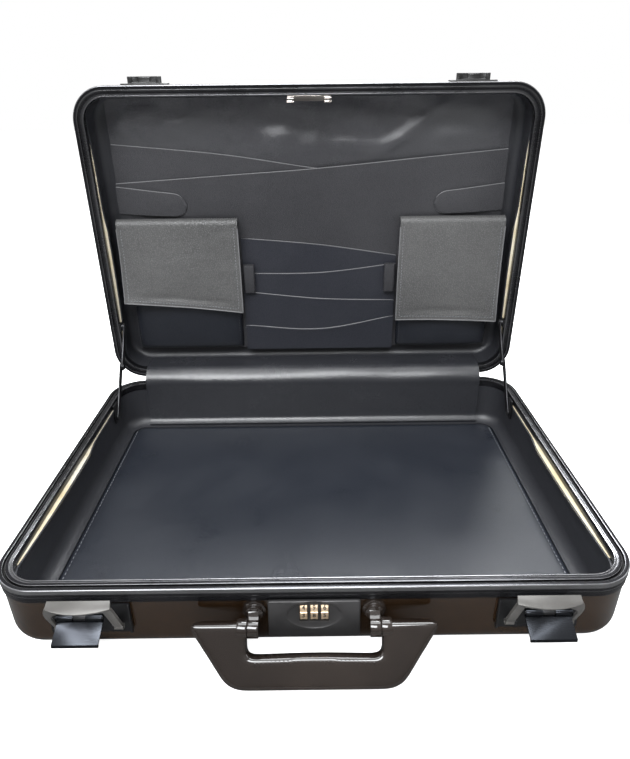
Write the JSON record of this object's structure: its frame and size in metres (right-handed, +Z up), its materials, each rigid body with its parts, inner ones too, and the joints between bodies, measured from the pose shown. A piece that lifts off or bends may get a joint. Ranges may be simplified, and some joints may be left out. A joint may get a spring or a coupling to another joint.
{
  "type": "attache case",
  "caption": "Hinged hard attache case with dark lacquered metal shells, metal rims, draw latches, a combination lock, a swinging handle and a leather organiser inside the lid.",
  "frame": {"origin": "middle of the base shell's flat bottom", "axes": "+X along the front towards the right-hand latch as seen by the user, +Y from the handle to the hinge, +Z up out of the open base"},
  "size_m": [0.45, 0.3847, 0.3781],
  "materials": {
    "shell": "gloss",
    "rim": "satin",
    "seal": "matte",
    "board": "matte",
    "lining_leather": "satin",
    "pocket_leather": "satin",
    "flap_leather": "satin",
    "lock_metal": "satin",
    "dial_metal": "satin",
    "bright_steel": "satin",
    "nickel": "polished",
    "dark_steel": "satin",
    "strike_metal": "satin",
    "lever_metal": "satin",
    "frame_enamel": "satin",
    "handle_plastic": "gloss"
  },
  "bodies": {
    "base": {"base_shell": "shell", "base_frame": "rim", "rim_gasket": "seal", "base_board_left": "board", "base_board_right": "board", "base_lining": "lining_leather", "base_floor_panel": "lining_leather", "hinge_cover_base": "lining_leather", "lock_plate": "lock_metal", "lock_case": "lock_metal", "lock_spindle": "bright_steel", "bolt_spring": "bright_steel", "hinge_pin": "bright_steel", "handle_pin_left": "bright_steel", "handle_pin_right": "bright_steel", "latch_pin_left": "bright_steel", "latch_pin_right": "bright_steel", "hinge_leaf_base": "dark_steel", "stay_foot_left": "dark_steel", "stay_foot_right": "dark_steel", "latch_plate_left": "dark_steel", "latch_plate_right": "dark_steel", "handle_post_left": "handle_plastic", "handle_post_right": "handle_plastic"},
    "lid": {"lid_shell": "shell", "lid_frame": "rim", "lid_lining": "lining_leather", "hinge_cover_lid": "lining_leather", "hinge_leaf_lid": "dark_steel", "document_pocket_rear": "pocket_leather", "document_pocket_front": "pocket_leather", "card_pockets": "pocket_leather", "lock_striker": "nickel", "lid_board_left": "board", "stay_head_left": "dark_steel", "latch_strike_left": "strike_metal", "strap_left": "pocket_leather", "pouch_left": "pocket_leather", "pen_loop_left": "pocket_leather", "lid_board_right": "board", "stay_head_right": "dark_steel", "latch_strike_right": "strike_metal", "strap_right": "pocket_leather", "pouch_right": "pocket_leather", "pen_loop_right": "pocket_leather"},
    "handle": {"handle": "handle_plastic"},
    "lock_bolt": {"lock_bolt": "bright_steel"},
    "stay_lower_left": {"stay_lower_left": "dark_steel"},
    "stay_upper_left": {"stay_upper_left": "dark_steel"},
    "latch_lever_left": {"latch_lever_left": "lever_metal"},
    "draw_frame_left": {"draw_frame_left": "frame_enamel"},
    "pouch_flap_left": {"pouch_flap_left": "flap_leather"},
    "stay_lower_right": {"stay_lower_right": "dark_steel"},
    "stay_upper_right": {"stay_upper_right": "dark_steel"},
    "latch_lever_right": {"latch_lever_right": "lever_metal"},
    "draw_frame_right": {"draw_frame_right": "frame_enamel"},
    "pouch_flap_right": {"pouch_flap_right": "flap_leather"},
    "dial_1": {"dial_1": "dial_metal"},
    "dial_2": {"dial_2": "dial_metal"},
    "dial_3": {"dial_3": "dial_metal"}
  },
  "joints": [
    {"name": "lid_hinge", "type": "hinge", "parent": "base", "child": "lid", "pos_m": [0, 0.1576, 0.0583], "axis": [-1, 0, 0], "range_deg": [-87.2, 0]},
    {"name": "handle_swing", "type": "hinge", "parent": "base", "child": "handle", "pos_m": [0, -0.16586, 0.034], "axis": [-1, 0, 0], "range_deg": [0, 142]},
    {"name": "stay_lower_left_turn", "type": "hinge", "parent": "base", "child": "stay_lower_left", "pos_m": [-0.21175, 0.103, 0.04], "axis": [-1, 0, 0], "range_deg": [-113.07, 0]},
    {"name": "stay_upper_left_turn", "type": "hinge", "parent": "lid", "child": "stay_upper_left", "pos_m": [-0.20995, 0.15862, 0.12343], "axis": [-1, 0, 0], "range_deg": [0, 127.69]},
    {"name": "latch_lever_left_turn", "type": "hinge", "parent": "base", "child": "latch_lever_left", "pos_m": [-0.158, -0.16046, 0.0395], "axis": [1, 0, 0], "range_deg": [-103, 0]},
    {"name": "draw_frame_left_turn", "type": "hinge", "parent": "base", "child": "draw_frame_left", "pos_m": [-0.153, -0.15906, 0.03], "axis": [1, 0, 0], "range_deg": [-15.31, 0]},
    {"name": "pouch_flap_left_lift", "type": "hinge", "parent": "lid", "child": "pouch_flap_left", "pos_m": [-0.1415, 0.16484, 0.23987], "axis": [-1, 0, 0], "range_deg": [0, 105]},
    {"name": "stay_lower_right_turn", "type": "hinge", "parent": "base", "child": "stay_lower_right", "pos_m": [0.21175, 0.103, 0.04], "axis": [-1, 0, 0], "range_deg": [-113.07, 0]},
    {"name": "stay_upper_right_turn", "type": "hinge", "parent": "lid", "child": "stay_upper_right", "pos_m": [0.20995, 0.15862, 0.12343], "axis": [-1, 0, 0], "range_deg": [0, 127.69]},
    {"name": "latch_lever_right_turn", "type": "hinge", "parent": "base", "child": "latch_lever_right", "pos_m": [0.158, -0.16046, 0.0395], "axis": [1, 0, 0], "range_deg": [-103, 0]},
    {"name": "draw_frame_right_turn", "type": "hinge", "parent": "base", "child": "draw_frame_right", "pos_m": [0.153, -0.15906, 0.03], "axis": [1, 0, 0], "range_deg": [-15.31, 0]},
    {"name": "pouch_flap_right_lift", "type": "hinge", "parent": "lid", "child": "pouch_flap_right", "pos_m": [0.1415, 0.16484, 0.23987], "axis": [-1, 0, 0], "range_deg": [0, 105]},
    {"name": "dial_1_turn", "type": "hinge", "parent": "base", "child": "dial_1", "pos_m": [-0.0072, -0.1491, 0.0366], "axis": [1, 0, 0], "continuous": true},
    {"name": "dial_2_turn", "type": "hinge", "parent": "base", "child": "dial_2", "pos_m": [0, -0.1491, 0.0366], "axis": [1, 0, 0], "continuous": true},
    {"name": "dial_3_turn", "type": "hinge", "parent": "base", "child": "dial_3", "pos_m": [0.0072, -0.1491, 0.0366], "axis": [1, 0, 0], "continuous": true},
    {"name": "lock_bolt_slide", "type": "slide", "parent": "base", "child": "lock_bolt", "axis": [1, 0, 0], "range_m": [0, 0.004], "stiffness_N_per_m": 150}
  ],
  "couplings": [
    {"joint": "stay_lower_left_turn", "follows": "lid_hinge", "ratio": 1.2965},
    {"joint": "stay_upper_left_turn", "follows": "lid_hinge", "ratio": -1.4643},
    {"joint": "draw_frame_left_turn", "follows": "latch_lever_left_turn", "ratio": 0.14854},
    {"joint": "stay_lower_right_turn", "follows": "lid_hinge", "ratio": 1.2965},
    {"joint": "stay_upper_right_turn", "follows": "lid_hinge", "ratio": -1.4643},
    {"joint": "draw_frame_right_turn", "follows": "latch_lever_right_turn", "ratio": 0.14854}
  ]
}
